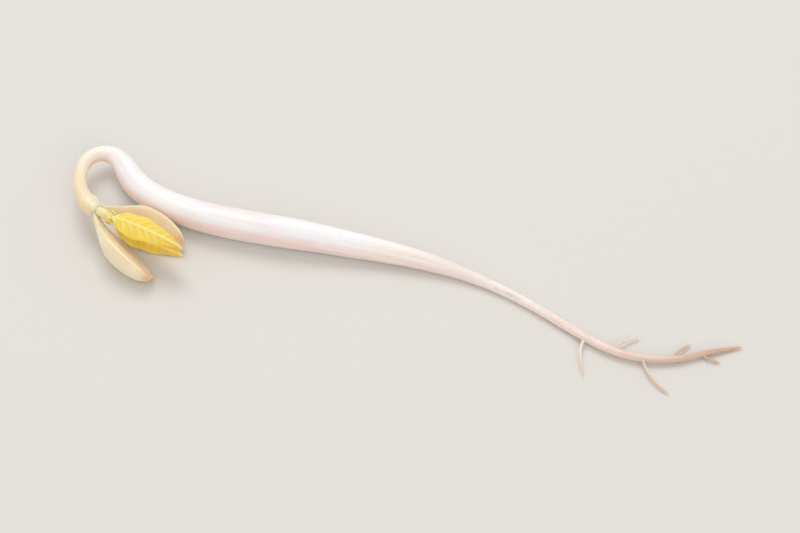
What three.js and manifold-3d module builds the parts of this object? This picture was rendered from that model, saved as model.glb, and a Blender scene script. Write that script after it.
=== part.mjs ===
// A mung bean sprout as picked, lying on its side on a flat surface.
// Millimetres, +Z up. The stem runs along +X, and the head is folded back beside it, on the -Y side.
// The origin is on the surface, under the middle of the sprout's bounding box.
import * as THREE from "three";
import { mergeVertices } from "three/addons/utils/BufferGeometryUtils.js";
import Module from "manifold-3d";

const wasm = await Module();
wasm.setup();

// The middle line of stem and root starts at the node, where the bean halves grow, and runs level.
// Each station gives the distance from the node, the line's heading there in degrees from +X,
// the sprout's radius, and the gap between its underside and the surface that it lies on.
const STATIONS = [
  { at: 0, heading: 162, radius: 0.8, gap: 2.25 },
  { at: 0.9, heading: 153, radius: 1, gap: 2 },
  { at: 2.6, heading: 138, radius: 0.74, gap: 2.1 },
  { at: 4.8, heading: 121, radius: 0.66, gap: 1.94 },
  { at: 6.8, heading: 107, radius: 0.68, gap: 1.67 },
  { at: 8.3, heading: 83, radius: 0.73, gap: 1.42 },
  { at: 9.8, heading: 37, radius: 0.8, gap: 1.2 },
  { at: 11.6, heading: -17, radius: 0.98, gap: 0.87 },
  { at: 13.8, heading: -36, radius: 1.2, gap: 0.48 },
  { at: 17, heading: -15, radius: 1.37, gap: 0.2 },
  { at: 21, heading: 0, radius: 1.5, gap: 0 },
  { at: 26, heading: 10, radius: 1.6, gap: -0.1 },
  { at: 32, heading: 14, radius: 1.61, gap: -0.12 },
  { at: 38, heading: 15, radius: 1.4, gap: -0.12 },
  { at: 43, heading: 12, radius: 1.12, gap: -0.1 },
  { at: 47, heading: 8, radius: 0.92, gap: -0.09 },
  { at: 51, heading: 2, radius: 0.65, gap: -0.08 },
  { at: 56, heading: -7, radius: 0.48, gap: -0.05 },
  { at: 61, heading: -13, radius: 0.45, gap: 0 },
  { at: 66, heading: -9, radius: 0.41, gap: 0.12 },
  { at: 71, heading: 16, radius: 0.36, gap: 0.2 },
  { at: 76, heading: 42, radius: 0.3, gap: 0.1 },
  { at: 81, heading: 36, radius: 0.22, gap: -0.03 },
];
const STEM_END = 51;
const ROOT_END = 81;
const JOINT_GAP = 0.3; // left between two pieces that touch
const LINE_STEP = 0.1;

// Side rootlets: distance from the node, direction from the root's own, length, and radius at the root
const ROOTLETS = [
  { at: 65, direction: -58, length: 4.6, radius: 0.19 },
  { at: 68, direction: 60, length: 3.4, radius: 0.18 },
  { at: 71, direction: -52, length: 4.8, radius: 0.18 },
  { at: 74, direction: 50, length: 2.8, radius: 0.17 },
  { at: 76.8, direction: -44, length: 2, radius: 0.16 },
];
const ROOTLET_TIP_RADIUS = 0.13;
const ROOTLET_BEND = 0.22; // how far its middle bows back, as a share of its length
const ROOTLET_RINGS = 8;

// The head grows on from the node, against the line's heading: two bean halves, fallen wide open,
// and between them the shoot with its first two leaves. Its own +X points to the leaf tips. In each
// pair, side is 1 for the back piece and -1 for the front one. A lean of 0 degrees has the back
// piece on top, and a lean of 90 has it towards the stem.
const HEAD_PITCH = -0.5; // degrees that the leaf tips point down
const HEAD_TURN = 11; // degrees that the head turns at the node, towards the stem
const SEED_LEAF = { length: 9, width: 3.7, thickness: 1.8, bow: 0.45 };
const SEED_LEAF_START = { along: 0.35, off: 0.75 }; // from the node to where each half begins
const BACK_HALF = { side: 1, lean: 136, opening: 15 }; // opening: degrees off the head's middle line
const FRONT_HALF = { side: -1, lean: 52, opening: 17.5 };
const SHOOT = { start: 0.38, end: 2.35, radius: 0.5, bud: 0.62 };
const LEAF = { length: 8.2, width: 2.95, thickness: 0.6, arch: 0.35, rise: 0.3 };
const LEAF_START = { along: 2.7, across: 0.1, off: 0.45 }; // clear of the bud
const LEAF_LEAN = 168; // the front leaf lies on top, and both face out between the halves
const BACK_LEAF = { side: 1, swing: -1 }; // swing: degrees that its tip turns towards the front half
const FRONT_LEAF = { side: -1, swing: -3 };

const STEM_SIDES = 24;
const ROOT_SIDES = 12;
const ROOTLET_SIDES = 8;
const RING_STEP = 1.3;
const RING_TURN = 9; // degrees that the line turns from one ring to the next, at most

const COLOURS = {
  stem: "#f3ece4",
  root: "#cfa67c",
  seedLeaf: "#f1dc8c",
  leaf: "#f2cf2e",
  shoot: "#efe3a4",
};
const Z_AXIS = new THREE.Vector3(0, 0, 1);

// A smooth value between stations: a cubic whose slopes come from the neighbouring stations
function stationValue(key, distance) {
  const last = STATIONS.length - 1;
  const next = STATIONS.findIndex(({ at }) => at > distance);
  const i = next < 0 ? last - 1 : next - 1;
  const [a, b] = [STATIONS[i], STATIONS[i + 1]];
  const span = b.at - a.at;
  const t = (distance - a.at) / span;
  const slope = (k) => {
    const before = STATIONS[Math.max(k - 1, 0)];
    const after = STATIONS[Math.min(k + 1, last)];
    return (span * (after[key] - before[key])) / (after.at - before.at);
  };
  return (
    a[key] * (2 * t ** 3 - 3 * t ** 2 + 1) +
    slope(i) * (t ** 3 - 2 * t ** 2 + t) +
    b[key] * (3 * t ** 2 - 2 * t ** 3) +
    slope(i + 1) * (t ** 3 - t ** 2)
  );
}

function headingAt(distance) {
  return THREE.MathUtils.degToRad(stationValue("heading", distance));
}

// The middle line's points in plan, a small step apart
function walkMiddleLine() {
  const line = [new THREE.Vector2(0, 0)];
  for (let distance = LINE_STEP / 2; distance < ROOT_END; distance += LINE_STEP) {
    const heading = headingAt(distance);
    const step = new THREE.Vector2(Math.cos(heading), Math.sin(heading)).multiplyScalar(LINE_STEP);
    line.push(step.add(line.at(-1)));
  }
  return line;
}
const middleLine = walkMiddleLine();

// The cross-section at a distance from the node: its centre, and unit vectors ahead, right and up
function sectionAt(distance) {
  const i = Math.min(Math.floor(distance / LINE_STEP), middleLine.length - 2);
  const plan = middleLine[i].clone().lerp(middleLine[i + 1], distance / LINE_STEP - i);
  const height = stationValue("radius", distance) + stationValue("gap", distance);
  const ahead = new THREE.Vector3(1, 0, 0).applyAxisAngle(Z_AXIS, headingAt(distance));
  return {
    centre: new THREE.Vector3(plan.x, plan.y, height),
    ahead,
    right: ahead.clone().cross(Z_AXIS),
    up: Z_AXIS,
  };
}

// Lays a lathe shape, whose axis is +Y, along a line: its Y becomes the place along the line
function layAlong(lathe, frameAt) {
  const position = lathe.attributes.position;
  const point = new THREE.Vector3();
  for (let i = 0; i < position.count; i++) {
    point.fromBufferAttribute(position, i);
    const { centre, right, up } = frameAt(point.y);
    const laid = centre.clone().addScaledVector(right, point.x).addScaledVector(up, point.z);
    position.setXYZ(i, laid.x, laid.y, laid.z);
  }
  return lathe;
}

function solidOf(geometry) {
  const bare = geometry.clone();
  bare.deleteAttribute("normal");
  bare.deleteAttribute("uv");
  const merged = mergeVertices(bare, 1e-4);
  const vertProperties = merged.attributes.position.array;
  const triVerts = new Uint32Array(merged.index.array);
  return new wasm.Manifold(new wasm.Mesh({ numProp: 3, vertProperties, triVerts }));
}

function geometryOf(solid) {
  const { vertProperties, triVerts } = solid.getMesh();
  const geometry = new THREE.BufferGeometry();
  geometry.setAttribute("position", new THREE.BufferAttribute(vertProperties, 3));
  geometry.setIndex(new THREE.BufferAttribute(triVerts, 1));
  geometry.computeVertexNormals();
  return geometry;
}

// Cuts off, flat, what would sink into the surface that the sprout lies on
function cutAtSurface(mesh) {
  const ground = solidOf(new THREE.BoxGeometry(400, 400, 20).translate(0, 0, -10));
  const placed = solidOf(mesh.geometry.clone().applyMatrix4(mesh.matrixWorld));
  const toMesh = mesh.matrixWorld.clone().invert();
  mesh.geometry = geometryOf(placed.subtract(ground)).applyMatrix4(toMesh);
}

function piece(name, geometry, color, roughness) {
  const material = new THREE.MeshStandardMaterial({ color, roughness, metalness: 0 });
  const mesh = new THREE.Mesh(geometry, material);
  mesh.name = name;
  return mesh;
}

// Where the rings of a stretch go: close together where the line turns fast
function ringDistances(from, to) {
  const rings = [from];
  while (rings.at(-1) < to) {
    const here = rings.at(-1);
    const turn = Math.abs(headingAt(Math.min(here + LINE_STEP, to)) - headingAt(here)) / LINE_STEP;
    const step = Math.min(RING_STEP, THREE.MathUtils.degToRad(RING_TURN) / turn);
    rings.push(to - here < 1.5 * step ? to : here + step);
  }
  return rings;
}

// A round stretch of the sprout between two distances from the node, closed at both ends
function stretch(from, to, sides) {
  const profile = ringDistances(from, to).map(
    (distance) => new THREE.Vector2(stationValue("radius", distance), distance),
  );
  profile.unshift(new THREE.Vector2(0, from));
  profile.push(new THREE.Vector2(0, to));
  return layAlong(new THREE.LatheGeometry(profile, sides), sectionAt);
}

function stem() {
  const geometry = stretch(0, STEM_END - JOINT_GAP / 2, STEM_SIDES);
  return piece("hypocotyl", geometry, COLOURS.stem, 0.35);
}

// A rootlet is a thin cone that leaves the root sideways and comes down onto the surface
function rootlet({ at, direction, length, radius }) {
  const { centre, ahead } = sectionAt(at);
  const away = ahead.clone().applyAxisAngle(Z_AXIS, THREE.MathUtils.degToRad(direction));
  const tip = centre.clone().addScaledVector(away, length).setZ(ROOTLET_TIP_RADIUS);
  const bend = centre.clone().addScaledVector(away, length / 2);
  bend.addScaledVector(ahead, -length * ROOTLET_BEND);
  const line = new THREE.QuadraticBezierCurve3(centre, bend, tip);
  const profile = [new THREE.Vector2(0, 0)];
  for (let i = 0; i <= ROOTLET_RINGS; i++) {
    const share = i / ROOTLET_RINGS;
    profile.push(new THREE.Vector2(THREE.MathUtils.lerp(radius, ROOTLET_TIP_RADIUS, share), share));
  }
  profile.push(new THREE.Vector2(0, 1));
  return layAlong(new THREE.LatheGeometry(profile, ROOTLET_SIDES), (share) => {
    const tangent = line.getTangent(share);
    const right = tangent.clone().cross(Z_AXIS).normalize();
    return { centre: line.getPoint(share), right, up: right.clone().cross(tangent) };
  });
}

function root() {
  const main = solidOf(stretch(STEM_END + JOINT_GAP / 2, ROOT_END, ROOT_SIDES));
  const whole = ROOTLETS.reduce((solid, each) => solid.add(solidOf(rootlet(each))), main);
  return piece("root", geometryOf(whole), COLOURS.root, 0.5);
}

// One bean half: flat inside, domed outside, kidney shaped, narrow where it grows from the node.
// It runs along +X from the origin, with its dome towards +Z and its bowed edge towards -Y.
function seedLeafGeometry() {
  const { length, width, thickness, bow } = SEED_LEAF;
  const fullEnds = 0.74; // under 1 makes the ends blunter than an ellipse
  const stalkWidth = 0.45; // at the narrow end, as a share of the full width
  const innerSwell = 0.06; // of the nearly flat inner face, as a share of the dome
  const half = new THREE.SphereGeometry(1, 28, 22).rotateZ(Math.PI / 2);
  const position = half.attributes.position;
  for (let i = 0; i < position.count; i++) {
    const x = position.getX(i);
    const ring = Math.hypot(position.getY(i), position.getZ(i));
    const narrowing = THREE.MathUtils.lerp(1, stalkWidth, THREE.MathUtils.smoothstep(-x, 0, 1));
    const swell = ring > 0 ? (ring ** fullEnds / ring) * narrowing : 0;
    const across = position.getY(i) * swell * (width / 2);
    const out = position.getZ(i) * swell * thickness;
    const depth = out > 0 ? out : out * innerSwell;
    position.setXYZ(i, (length / 2) * (1 + x), across - bow * (1 - x * x), depth);
  }
  return half;
}

// Holds pieces that lean to one side, round the head's own length
function leaning(lean, ...pieces) {
  const group = new THREE.Group();
  group.add(...pieces);
  group.rotation.x = -THREE.MathUtils.degToRad(lean);
  return group;
}

// The front half is the back one's mirror image
function seedLeaf(name, { side, lean, opening }) {
  const geometry = seedLeafGeometry();
  if (side < 0) {
    geometry.scale(1, 1, -1);
    geometry.index.array.reverse();
  }
  const mesh = piece(name, geometry, COLOURS.seedLeaf, 0.45);
  mesh.position.set(SEED_LEAF_START.along, 0, side * SEED_LEAF_START.off);
  mesh.rotation.y = -side * THREE.MathUtils.degToRad(opening);
  return leaning(lean, mesh);
}

// The shoot between the bean halves, a short rod with the bud swelling at its end
function shoot() {
  const { start, end, radius, bud } = SHOOT;
  const swell = THREE.MathUtils.lerp(start, end, 0.55);
  const widest = THREE.MathUtils.lerp(start, end, 0.8);
  const profile = [
    new THREE.Vector2(0, start),
    new THREE.Vector2(radius, start),
    new THREE.Vector2(radius, swell),
    new THREE.Vector2(bud, widest),
    new THREE.Vector2(radius, end),
    new THREE.Vector2(0, end),
  ];
  return piece("shoot", new THREE.LatheGeometry(profile, 14).rotateZ(-Math.PI / 2), COLOURS.shoot, 0.45);
}

// A first leaf: a thin pointed blade, arched across and along its length.
// It runs along +X from the origin and arches towards +Z.
function leafGeometry() {
  const { length, width, thickness, arch, rise } = LEAF;
  const stalkWidth = 0.22; // as a share of the full width
  const tipWidth = 0.08;
  const blade = new THREE.BoxGeometry(1, 1, 1, 20, 6, 1);
  const position = blade.attributes.position;
  for (let i = 0; i < position.count; i++) {
    const along = position.getX(i) + 0.5;
    const across = position.getY(i) * 2;
    const ends = THREE.MathUtils.lerp(stalkWidth, tipWidth, along);
    const outline = ends + (1 - ends) * Math.sin(Math.PI * along ** 0.7) * (1 - 0.3 * along);
    const bulge = arch * (1 - across * across) * outline + rise * Math.sin(Math.PI * along);
    const height = bulge + position.getZ(i) * thickness;
    position.setXYZ(i, length * along, across * outline * (width / 2), height);
  }
  return blade;
}

function firstLeaf(name, { side, swing }) {
  const geometry = leafGeometry();
  if (side < 0) geometry.rotateX(Math.PI);
  const mesh = piece(name, geometry, COLOURS.leaf, 0.45);
  mesh.position.set(LEAF_START.along, LEAF_START.across, side * LEAF_START.off);
  mesh.rotation.z = THREE.MathUtils.degToRad(swing);
  return mesh;
}

function head() {
  const group = new THREE.Group();
  const leaves = [firstLeaf("first_leaf_back", BACK_LEAF), firstLeaf("first_leaf_front", FRONT_LEAF)];
  group.add(
    seedLeaf("seed_leaf_back", BACK_HALF),
    seedLeaf("seed_leaf_front", FRONT_HALF),
    shoot(),
    leaning(LEAF_LEAN, ...leaves),
  );
  group.position.copy(sectionAt(0).centre);
  group.rotation.order = "ZYX";
  const pitch = THREE.MathUtils.degToRad(HEAD_PITCH);
  const turn = THREE.MathUtils.degToRad(HEAD_TURN);
  group.rotation.set(0, pitch, headingAt(0) + Math.PI + turn);
  return group;
}

const sprout = new THREE.Group();
sprout.add(stem(), root(), head());
sprout.updateMatrixWorld(true);
sprout.traverse((part) => {
  if (part.isMesh) cutAtSurface(part);
});
const box = new THREE.Box3().setFromObject(sprout, true);
sprout.position.set(-(box.min.x + box.max.x) / 2, -(box.min.y + box.max.y) / 2, -box.min.z);

export default sprout;
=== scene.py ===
"""The finished look of a mung bean sprout lying on its side, over its CAD frame.

Lengths in the tables below are millimetres, as in the CAD source; objects are in metres.
"""

import functools
import math

import bmesh
import bpy
from bpy.props import FloatProperty, FloatVectorProperty, IntProperty, PointerProperty
from mathutils import Matrix, Vector, noise


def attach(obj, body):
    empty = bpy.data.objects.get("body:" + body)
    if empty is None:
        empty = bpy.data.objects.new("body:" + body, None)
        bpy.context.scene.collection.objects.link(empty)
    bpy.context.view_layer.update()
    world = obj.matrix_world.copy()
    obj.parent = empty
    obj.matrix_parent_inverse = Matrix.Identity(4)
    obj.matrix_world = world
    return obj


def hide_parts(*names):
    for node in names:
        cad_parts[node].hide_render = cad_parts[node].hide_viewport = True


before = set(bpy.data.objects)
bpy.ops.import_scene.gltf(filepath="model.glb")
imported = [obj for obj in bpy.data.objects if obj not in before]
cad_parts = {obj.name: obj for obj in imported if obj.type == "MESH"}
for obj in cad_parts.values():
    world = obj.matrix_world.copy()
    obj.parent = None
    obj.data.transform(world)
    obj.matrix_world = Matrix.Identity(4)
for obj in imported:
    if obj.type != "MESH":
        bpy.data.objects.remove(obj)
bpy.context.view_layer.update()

bl_info = {
    "name": "Mung Bean Sprout",
    "version": (1, 0, 0),
    "blender": (4, 5, 0),
    "location": "View3D > Sidebar > Sprout",
    "description": "Grows a mung bean sprout over its CAD frame, piece by piece",
    "category": "Object",
}

MM = 0.001
BODY = "root"  # the only body, which every piece rides on

# The line through the middle of stem and root, from the node where the bean halves grow.
# Each station: distance from the node, heading in degrees from +X, radius, gap to the surface below.
AT, HEADING, RADIUS, GAP = range(4)
STATIONS = (
    (0, 162, 0.8, 2.25),
    (0.9, 153, 1, 2),
    (2.6, 138, 0.74, 2.1),
    (4.8, 121, 0.66, 1.94),
    (6.8, 107, 0.68, 1.67),
    (8.3, 83, 0.73, 1.42),
    (9.8, 37, 0.8, 1.2),
    (11.6, -17, 0.98, 0.87),
    (13.8, -36, 1.2, 0.48),
    (17, -15, 1.37, 0.2),
    (21, 0, 1.5, 0),
    (26, 10, 1.6, -0.1),
    (32, 14, 1.61, -0.12),
    (38, 15, 1.4, -0.12),
    (43, 12, 1.12, -0.1),
    (47, 8, 0.92, -0.09),
    (51, 2, 0.65, -0.08),
    (56, -7, 0.48, -0.05),
    (61, -13, 0.45, 0),
    (66, -9, 0.41, 0.12),
    (71, 16, 0.36, 0.2),
    (76, 42, 0.3, 0.1),
    (81, 36, 0.22, -0.03),
)
NODE_PLACE = Vector((-29.25219, -4.76594, 0))  # the node, seen from the origin
STEM_END = 51
ROOT_END = 81
WIDEST = 1.61  # the stem's largest radius
MEETING_RADIUS = 0.65  # where the stem ends and the root begins
SINK = 0.06  # how deep the end of either lies under the other's skin there
NODE_DOME = 0.55  # length of the stem's rounded end at the node
HIDDEN_DOME = 0.3  # and of the rounded ends that stem and root have inside each other
LINE_STEP = 0.1
THINNEST = 0.004  # radius at which a rounded end is closed

# Side rootlets: distance from the node, direction from the root's own, length, radius at the root
ROOTLETS = (
    (65, -58, 4.6, 0.19),
    (68, 60, 3.4, 0.18),
    (71, -52, 4.8, 0.18),
    (74, 50, 2.8, 0.17),
    (76.8, -44, 2, 0.16),
)
ROOTLET_TIP_RADIUS = 0.13
ROOTLET_BEND = 0.22  # share of its length by which a rootlet bows back towards the stem
HAIRS_BEGIN, HAIRS_END = (53.5, 59), (61, 73)  # stretches over which the root hairs set in and give out

# The head, whose own +X points to the leaf tips. In degrees, a positive pitch lowers them and a
# positive turn takes them towards the stem. A lean of 0 has the back piece of a pair on top, and a
# lean of 90 has it towards the stem.
HEAD_PITCH, HEAD_TURN = -0.5, 11
HALF_LENGTH, HALF_WIDTH, HALF_THICKNESS, HALF_BOW = 9, 3.7, 1.8, 0.45
HALF_START = (0.35, 0.75)  # along the head, and off its middle line
BEAN_HALVES = (  # name, CAD node, side, lean, opening in degrees
    ("bean_half_back", "seed_leaf_back", 1, 136, 15),
    ("bean_half_front", "seed_leaf_front", -1, 52, 17.5),
)
LEAF_LENGTH, LEAF_WIDTH, LEAF_ARCH, LEAF_RISE = 8.2, 2.95, 0.35, 0.3
LEAF_START = (2.7, 0.1, 0.45)  # along the head, across it, and off its middle line
LEAF_LEAN = 168
LEAVES = (  # name, CAD node, side, degrees that its tip turns towards the front half
    ("young_leaf_back", "first_leaf_back", 1, -1),
    ("young_leaf_front", "first_leaf_front", -1, -3),
)
LEAF_FOOT = 0.22  # the leaf's width at its foot, as a share of its widest
SHOOT_RADIUS, BUD_RADIUS = 0.5, 0.62
SCALE_TURNS = (80, 129, 236, 326)  # where the bud scales stand round the shoot, clear of both leaves


def linear(hex_colour):
    """A linear RGBA colour from an sRGB hex value."""
    channels = [int(hex_colour[i : i + 2], 16) / 255 for i in (1, 3, 5)]
    return (*[c / 12.92 if c <= 0.04045 else ((c + 0.055) / 1.055) ** 2.4 for c in channels], 1.0)


def colour(name, description, hex_colour):
    look = {"size": 4, "subtype": "COLOR", "min": 0, "max": 1}
    return FloatVectorProperty(name=name, description=description, default=linear(hex_colour), **look)


def length(name, description, millimetres):
    look = {"unit": "LENGTH", "precision": 6, "min": 0}
    return FloatProperty(name=name, description=description, default=millimetres * MM, **look)


def angle(name, description, degrees):
    return FloatProperty(name=name, description=description, default=math.radians(degrees), subtype="ANGLE")


class StemSettings(bpy.types.PropertyGroup):
    """Sizes and colours of the stem."""

    sides: IntProperty(name="Sides", description="Points round the stem", default=96, min=12)
    rib_width: length("Rib width", "Width of the soft ribs that run along the stem", 0.8)
    rib_depth: length("Rib depth", "Height of the soft ribs", 0.1)
    swelling_length: length("Swelling length", "Distance between the stem's slow bulges and hollows", 7)
    swelling_depth: length("Swelling depth", "Height of the slow bulges", 0.17)
    skin: colour("Skin", "The plump middle of the stem", "#f7f3f6")
    blush: colour("Blush", "Faint patches where the skin has been rubbed", "#eed5cb")
    # Painted light: a warm glow painted along both sides of the stem, standing in for light that shines
    # through its edges.
    painted_edge_glow: colour("Painted edge glow", "The warm tone that shows through along both sides", "#f3cfc0")
    neck: colour("Neck", "The thin hooked neck below the bean halves", "#f3dfb4")
    collar: colour("Collar", "Where the stem runs out into the root", "#f5e4dc")


class RootSettings(bpy.types.PropertyGroup):
    """Sizes and colours of the root."""

    sides: IntProperty(name="Sides", description="Points round the root", default=32, min=8)
    rib_width: length("Rib width", "Width of the fine ribs that run along the root", 0.3)
    rib_depth: length("Rib depth", "Height of the fine ribs", 0.06)
    swelling_length: length("Swelling length", "Distance between the root's bulges and hollows", 2.5)
    swelling_depth: length("Swelling depth", "Height of the bulges, for a root as thick as the stem", 0.25)
    hair_density: FloatProperty(name="Hair density", description="Hairs on a square millimetre", default=9)
    hair_length: length("Hair length", "Length of a full root hair", 0.5)
    skin: colour("Skin", "The upper part of the root", "#fbeeea")
    tip: colour("Tip", "The thin tan end", "#c79f7a")


class BeanSettings(bpy.types.PropertyGroup):
    """Sizes and colours of the two bean halves."""

    wrinkle_depth: length("Wrinkle depth", "Depth of the wrinkles that run along a half", 0.09)
    flesh: colour("Flesh", "The domed outside", "#feeccf")
    rim: colour("Rim", "The thin yellow rim and the stalk", "#f6e5b6")
    inside: colour("Inside", "The flat inner face", "#fce9c8")
    tip: colour("Tip", "The dried tan tip", "#d3a678")


class LeafSettings(bpy.types.PropertyGroup):
    """Sizes and colours of the shoot and its first leaves."""

    thickness: length("Thickness", "Thickness of a leaf", 0.26)
    vein_spacing: length("Vein spacing", "Distance between side veins", 0.95)
    pleat_depth: length("Pleat depth", "Height of the folds between side veins", 0.07)
    blade: colour("Blade", "The leaf between its veins", "#fad95f")
    vein: colour("Vein", "The veins, and the blade next to them", "#fef5b8")
    tip: colour("Tip", "The golden end of the leaf", "#e3b545")
    shoot: colour("Shoot", "The short shoot and its bud", "#f4e5ac")


class StageSettings(bpy.types.PropertyGroup):
    """The floor, the light and the camera."""

    floor: colour("Floor", "The plain pale floor", "#e0dcd6")
    key_power: FloatProperty(name="Key light", description="Power of the key light, in watts", default=2.1)
    fill_power: FloatProperty(name="Fill light", description="Power of the fill light, in watts", default=1.4)
    sky_strength: FloatProperty(name="Sky", description="Strength of the even light all round", default=0.71)
    azimuth: angle("Azimuth", "Camera's turn round the sprout", 26)
    elevation: angle("Elevation", "Camera's height above the horizon", 50)
    lens: FloatProperty(name="Lens", description="Focal length in millimetres", default=100)


class SproutSettings(bpy.types.PropertyGroup):
    """All settings of the sprout."""

    stem: PointerProperty(type=StemSettings)
    root: PointerProperty(type=RootSettings)
    bean: PointerProperty(type=BeanSettings)
    leaf: PointerProperty(type=LeafSettings)
    stage: PointerProperty(type=StageSettings)


def lerp(a, b, share):
    return a + (b - a) * share


def smoothstep(value, low=0.0, high=1.0):
    share = min(max((value - low) / (high - low), 0.0), 1.0)
    return share * share * (3 - 2 * share)


def add_node(tree, kind, sockets=None, **settings):
    """Adds a node; sockets pairs an input with its value, or with the output or node that feeds it."""
    node = tree.nodes.new(kind)
    for name, value in settings.items():
        setattr(node, name, value)
    for key, value in (sockets or {}).items():
        if isinstance(value, bpy.types.Node):
            value = value.outputs[0]
        if isinstance(value, bpy.types.NodeSocket):
            tree.links.new(value, node.inputs[key])
        else:
            node.inputs[key].default_value = value
    return node


# The middle line, as in the CAD source


def station_value(column, distance):
    """A smooth value between stations: a cubic whose slopes come from the neighbouring stations."""
    last = len(STATIONS) - 1
    i = next((k for k, station in enumerate(STATIONS) if station[AT] > distance), last) - 1
    a, b = STATIONS[i], STATIONS[i + 1]
    span = b[AT] - a[AT]
    t = (distance - a[AT]) / span

    def slope(k):
        before, after = STATIONS[max(k - 1, 0)], STATIONS[min(k + 1, last)]
        return span * (after[column] - before[column]) / (after[AT] - before[AT])

    return (
        a[column] * (2 * t**3 - 3 * t**2 + 1)
        + slope(i) * (t**3 - 2 * t**2 + t)
        + b[column] * (3 * t**2 - 2 * t**3)
        + slope(i + 1) * (t**3 - t**2)
    )


def heading_at(distance):
    return math.radians(station_value(HEADING, distance))


@functools.cache
def middle_line():
    """The line's points in plan, a small step apart."""
    line = [Vector((0, 0))]
    for k in range(round(ROOT_END / LINE_STEP)):
        heading = heading_at((k + 0.5) * LINE_STEP)
        line.append(line[-1] + Vector((math.cos(heading), math.sin(heading))) * LINE_STEP)
    return line


def section(distance):
    """The line's centre and its direction ahead; beyond either end it runs on straight."""
    inside = min(max(distance, 0), ROOT_END)
    line = middle_line()
    i = min(int(inside / LINE_STEP), len(line) - 2)
    plan = line[i].lerp(line[i + 1], inside / LINE_STEP - i)
    height = station_value(RADIUS, inside) + station_value(GAP, inside)
    ahead = Vector((math.cos(heading_at(inside)), math.sin(heading_at(inside)), 0))
    return Vector((plan.x, plan.y, height)) + ahead * (distance - inside), ahead


def radius_at(distance):
    return station_value(RADIUS, min(max(distance, 0), ROOT_END))


def domed(distance, start, end, start_dome, end_dome):
    """The share of its radius that a stretch has at a distance, if both its ends are rounded."""
    near = min((distance - start) / start_dome, (end - distance) / end_dome, 1)
    return math.sqrt(max(1 - (1 - near) ** 2, 0))


def ring_places(start, end, start_dome, end_dome, step):
    """Distances of the rings of a stretch: close together in its rounded ends."""
    dome_rings = 10
    bends = [1 - math.cos(math.pi / 2 * k / dome_rings) for k in range(dome_rings)]
    middle_start, middle_end = start + start_dome, end - end_dome
    count = max(round((middle_end - middle_start) / step), 1)
    middle = [lerp(middle_start, middle_end, k / count) for k in range(count + 1)]
    return (
        [start + start_dome * bend for bend in bends]
        + middle
        + [end - end_dome * bend for bend in reversed(bends)]
    )


def main_path(start, end, domes, step, sunk):
    """Path points along the middle line: place, radius and distance from the node.

    Both ends are rounded over the lengths in domes. sunk gives the share of its depth under the
    other skin that this one has at a distance.
    """
    path = []
    for distance in ring_places(start, end, *domes, step):
        girth = (radius_at(distance) - SINK * sunk(distance)) * domed(distance, start, end, *domes)
        path.append((section(distance)[0], max(girth, THINNEST), distance))
    return path


def stem_path():
    """The stem's path: its rounded upper end is the node, and its lower end sinks slowly into the root."""
    step, domes = 0.14, (NODE_DOME, HIDDEN_DOME)
    end = STEM_END + 1.2
    return main_path(-NODE_DOME, end, domes, step, lambda at: smoothstep(at, STEM_END - 0.6, end))


def tap_root_path():
    """The main root's path: its upper end lies hidden in the stem, and its tip is drawn out."""
    step, domes = 0.12, (HIDDEN_DOME, 4)
    start = STEM_END - 1.4
    return main_path(start, ROOT_END, domes, step, lambda at: smoothstep(STEM_END + 0.5 - at, 0, 1.8))


def rootlet_path(at, direction, reach, radius):
    """Path points of a rootlet that leaves the root sideways and comes down onto the surface."""
    steps, wander, wander_length = 56, 0.7, 4.5
    slimmer = 0.82  # as a share of the solid's thickness
    taper, point_start = 1.4, 0.72
    centre, ahead = section(at)
    away = Matrix.Rotation(math.radians(direction), 3, "Z") @ ahead
    side = Vector((-away.y, away.x, 0))
    tip = centre + away * reach
    tip.z = ROOTLET_TIP_RADIUS
    bend = centre + away * (reach / 2) - ahead * (reach * ROOTLET_BEND)
    path = []
    for k in range(steps + 1):
        share = k / steps
        place = centre * (1 - share) ** 2 + bend * (2 * share * (1 - share)) + tip * share**2
        off = noise.noise(Vector((share * reach / wander_length, at, 3.1))) * wander * share
        pointed = math.sqrt(max(1 - smoothstep(share, point_start, 1.0) ** 2, 0))
        girth = lerp(radius, ROOTLET_TIP_RADIUS, min(share * taper, 1)) * slimmer * pointed
        path.append((place + side * off, max(girth, THINNEST), at + share * reach))
    return path


def clear_of_joints(path):
    """For each point of a path, how clear it is of the places where one stretch grows out of another.

    Light doesn't reach the ends that are hidden there, which would show as a dark band if the skin
    let it through as freely as elsewhere.
    """
    foot_reach, fork_reach, meeting_reach = (0.5, 1.8), (0.5, 1.6), (1.4, 6)
    first = path[0][2]
    if first > STEM_END:
        return [smoothstep(distance - first, *foot_reach) for _, _, distance in path]
    clear = []
    for _, _, distance in path:
        forks = [smoothstep(abs(distance - rootlet[0]), *fork_reach) for rootlet in ROOTLETS]
        clear.append(smoothstep(abs(distance - STEM_END), *meeting_reach) * min(forks))
    return clear


def path_mesh(name, paths):
    """A mesh of edges along the paths, whose points carry what the skin and its finish are made from.

    The skin is even only where stem and root meet, so that the two run smoothly into each other.
    """
    mesh = bpy.data.meshes.new(name)
    points = [point for path in paths for point in path]
    edges = []
    first = 0
    for path in paths:
        edges += [(k, k + 1) for k in range(first, first + len(path) - 1)]
        first += len(path)
    mesh.from_pydata([(place + NODE_PLACE) * MM for place, _, _ in points], edges, [])
    for attribute, values in (
        ("girth", [girth * MM for _, girth, _ in points]),
        ("along", [distance * MM for _, _, distance in points]),
        ("uneven", [smoothstep(abs(distance - STEM_END), 0.6, 3.5) for _, _, distance in points]),
        ("clear", [value for path in paths for value in clear_of_joints(path)]),
    ):
        mesh.attributes.new(attribute, "FLOAT", "POINT").data.foreach_set("value", values)
    return mesh


# Geometry Nodes


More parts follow.
